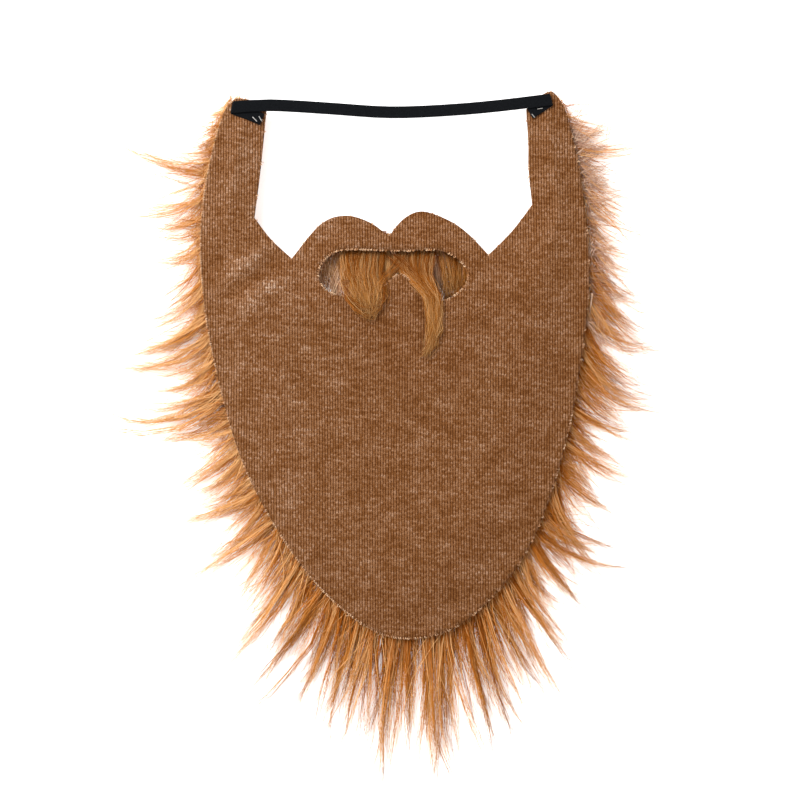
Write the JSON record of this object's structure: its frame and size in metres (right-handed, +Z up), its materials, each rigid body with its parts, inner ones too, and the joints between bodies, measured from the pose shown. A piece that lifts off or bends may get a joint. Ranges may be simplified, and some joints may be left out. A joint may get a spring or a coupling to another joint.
{
  "type": "fake beard with elastic strap",
  "caption": "Full false beard of knitted long-pile fur with a mouth hole, two sideburn arms and an elastic head strap, lying pile side down.",
  "frame": {"origin": "middle of the footprint, on the surface that the pile rests on", "axes": "+Z up out of the knitted side, +Y from the chin to the sideburn arms, +X to the right arm as the picture shows it"},
  "size_m": [0.2796, 0.347, 0.0203],
  "materials": {
    "knitted_cloth": "brown heather weft knit, matte",
    "long_pile": "ginger acrylic long pile, dark at the root and light at the tip",
    "black_elastic": "black flat elastic with fine lengthwise ribs, matte",
    "steel_wire": "bright staple wire"
  },
  "bodies": {
    "root": {"knit_backing": "knitted_cloth", "fur_pile": "long_pile", "elastic_strap": "black_elastic", "staple_left": "steel_wire", "staple_right": "steel_wire"}
  },
  "joints": []
}
